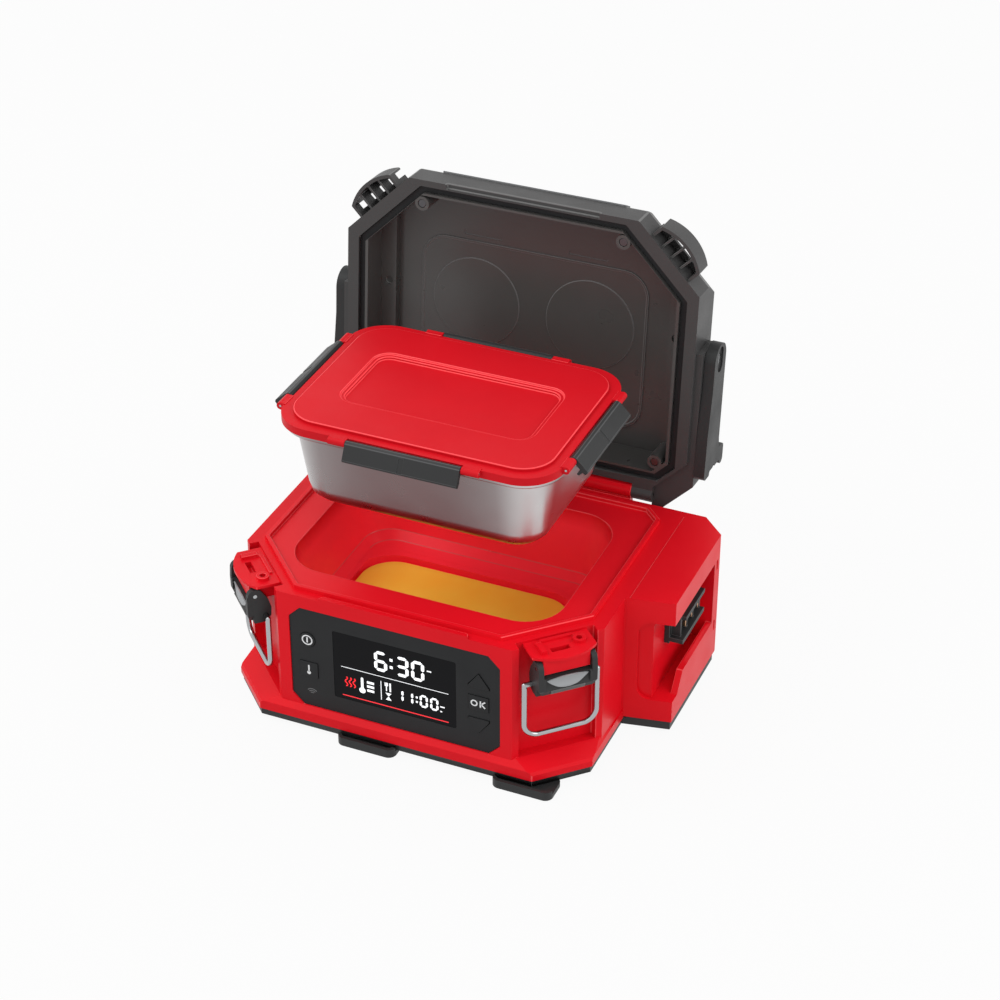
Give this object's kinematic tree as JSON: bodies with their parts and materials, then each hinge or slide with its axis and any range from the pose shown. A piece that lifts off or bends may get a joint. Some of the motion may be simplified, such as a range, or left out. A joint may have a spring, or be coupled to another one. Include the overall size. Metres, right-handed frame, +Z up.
{
  "type": "electric lunch box",
  "caption": "Battery-heated lunch box with a latched hinged lid, control panel, heating plate, carry handle and a lidded steel food container.",
  "frame": {"origin": "centre of the underside's resting face, under the middle of the body", "axes": "+X to the user's right, seen from the control panel side; +Y to the back, towards the lid's hinge; +Z up"},
  "size_m": [0.3285, 0.2744, 0.3376],
  "materials": {
    "red_plastic": "satin moulded red",
    "black_plastic": "fine-textured black moulding",
    "dark_plastic": "smooth dark grey moulding",
    "grey_plastic": "mid grey moulding",
    "steel": "brushed stainless steel",
    "steel_wire": "plated round wire and pins",
    "amber_plate": "amber coated metal plate",
    "window_black": "glossy black display window",
    "rubber_black": "soft black seal",
    "rubber_grey": "soft grey grip",
    "board_green": "coated circuit board",
    "insulation": "pale insulating felt",
    "copper": "plated contact metal",
    "wire_red": "insulated lead"
  },
  "bodies": {
    "box": {"housing_shell": "red_plastic", "bay_liner": "red_plastic", "heating_plate": "amber_plate", "heater_element": "copper", "plate_insulation": "insulation", "temperature_probe": "steel", "thermal_cutout": "steel", "bottom_tray": "black_plastic", "front_cleats": "black_plastic", "rear_feet": "rubber_black", "housing_screws": "steel", "panel_frame": "black_plastic", "display_window": "window_black", "display_module": "dark_plastic", "control_board": "board_green", "power_board": "board_green", "button_pads": "rubber_black", "terminal_block": "black_plastic", "terminal_blades": "copper", "battery_wires": "wire_red", "latch_bracket_left": "red_plastic", "latch_bracket_right": "red_plastic", "lever_pin_left": "steel_wire", "lever_pin_right": "steel_wire", "hinge_mount": "red_plastic", "hinge_pin": "steel_wire"},
    "lid": {"lid_shell": "black_plastic", "lid_liner": "dark_plastic", "lid_insulation": "insulation", "lid_gasket": "rubber_black", "liner_screws": "steel", "lid_edge_strip": "grey_plastic", "catch_left": "black_plastic", "catch_right": "black_plastic", "handle_pivots": "steel_wire"},
    "handle": {"carry_handle": "black_plastic", "handle_grip": "rubber_grey"},
    "lever_left": {"latch_lever_left": "black_plastic", "lever_grip_left": "rubber_grey"},
    "lever_right": {"latch_lever_right": "black_plastic", "lever_grip_right": "rubber_grey"},
    "bail_left": {"latch_bail_left": "steel_wire"},
    "bail_right": {"latch_bail_right": "steel_wire"},
    "container": {"food_pan": "steel"},
    "food_lid": {"food_lid": "red_plastic", "food_lid_seal": "rubber_black", "clip_pins": "steel_wire"},
    "clip_front": {"clip_front": "black_plastic"},
    "clip_back": {"clip_back": "black_plastic"},
    "clip_left": {"clip_left": "black_plastic"},
    "clip_right": {"clip_right": "black_plastic"},
    "button_power": {"power_button": "black_plastic"},
    "button_temperature": {"temperature_button": "black_plastic"},
    "button_up": {"up_button": "black_plastic"},
    "button_ok": {"ok_button": "black_plastic"},
    "button_down": {"down_button": "black_plastic"}
  },
  "joints": [
    {"name": "box_lid_hinge", "type": "hinge", "parent": "box", "child": "lid", "pos_m": [0, 0.112, 0.122], "axis": [-1, 0, 0], "range_deg": [-95, 0]},
    {"name": "container_lift", "type": "slide", "parent": "box", "child": "container", "axis": [0, 0, 1], "range_m": [-0.106, 0]},
    {"name": "carry_handle", "type": "hinge", "parent": "lid", "child": "handle", "pos_m": [0, 0.13709, 0.23324], "axis": [1, 0, 0], "range_deg": [0, 90]},
    {"name": "lever_left", "type": "hinge", "parent": "box", "child": "lever_left", "pos_m": [-0.12398, -0.08898, 0.106], "axis": [-0.7071, 0.7071, 0], "range_deg": [0, 95]},
    {"name": "bail_left", "type": "hinge", "parent": "lever_left", "child": "bail_left", "pos_m": [-0.11904, -0.08403, 0.0887], "axis": [0.7071, -0.7071, 0], "range_deg": [-180, 0]},
    {"name": "lever_right", "type": "hinge", "parent": "box", "child": "lever_right", "pos_m": [0.12398, -0.08898, 0.106], "axis": [-0.7071, -0.7071, 0], "range_deg": [0, 95]},
    {"name": "bail_right", "type": "hinge", "parent": "lever_right", "child": "bail_right", "pos_m": [0.11904, -0.08403, 0.0887], "axis": [0.7071, 0.7071, 0], "range_deg": [-180, 0]},
    {"name": "food_lid_lift", "type": "slide", "parent": "container", "child": "food_lid", "axis": [0, 0, 1], "range_m": [0, 0.04]},
    {"name": "clip_front", "type": "hinge", "parent": "food_lid", "child": "clip_front", "pos_m": [0, -0.0805, 0.237], "axis": [-1, 0, 0], "range_deg": [-28, 67]},
    {"name": "clip_back", "type": "hinge", "parent": "food_lid", "child": "clip_back", "pos_m": [0, 0.0825, 0.237], "axis": [1, 0, 0], "range_deg": [-13, 82]},
    {"name": "clip_left", "type": "hinge", "parent": "food_lid", "child": "clip_left", "pos_m": [-0.108, 0.001, 0.237], "axis": [0, 1, 0], "range_deg": [-50, 45]},
    {"name": "clip_right", "type": "hinge", "parent": "food_lid", "child": "clip_right", "pos_m": [0.108, 0.001, 0.237], "axis": [0, -1, 0], "range_deg": [-45, 50]},
    {"name": "press_power", "type": "slide", "parent": "box", "child": "button_power", "axis": [0, 1, 0], "range_m": [0, 0.001], "stiffness_N_per_m": 900},
    {"name": "press_temperature", "type": "slide", "parent": "box", "child": "button_temperature", "axis": [0, 1, 0], "range_m": [0, 0.001], "stiffness_N_per_m": 900},
    {"name": "press_up", "type": "slide", "parent": "box", "child": "button_up", "axis": [0, 1, 0], "range_m": [0, 0.001], "stiffness_N_per_m": 900},
    {"name": "press_ok", "type": "slide", "parent": "box", "child": "button_ok", "axis": [0, 1, 0], "range_m": [0, 0.001], "stiffness_N_per_m": 900},
    {"name": "press_down", "type": "slide", "parent": "box", "child": "button_down", "axis": [0, 1, 0], "range_m": [0, 0.001], "stiffness_N_per_m": 900}
  ],
  "couplings": [
    {"joint": "container_lift", "follows": "box_lid_hinge", "m_per_rad": 0.06393}
  ]
}
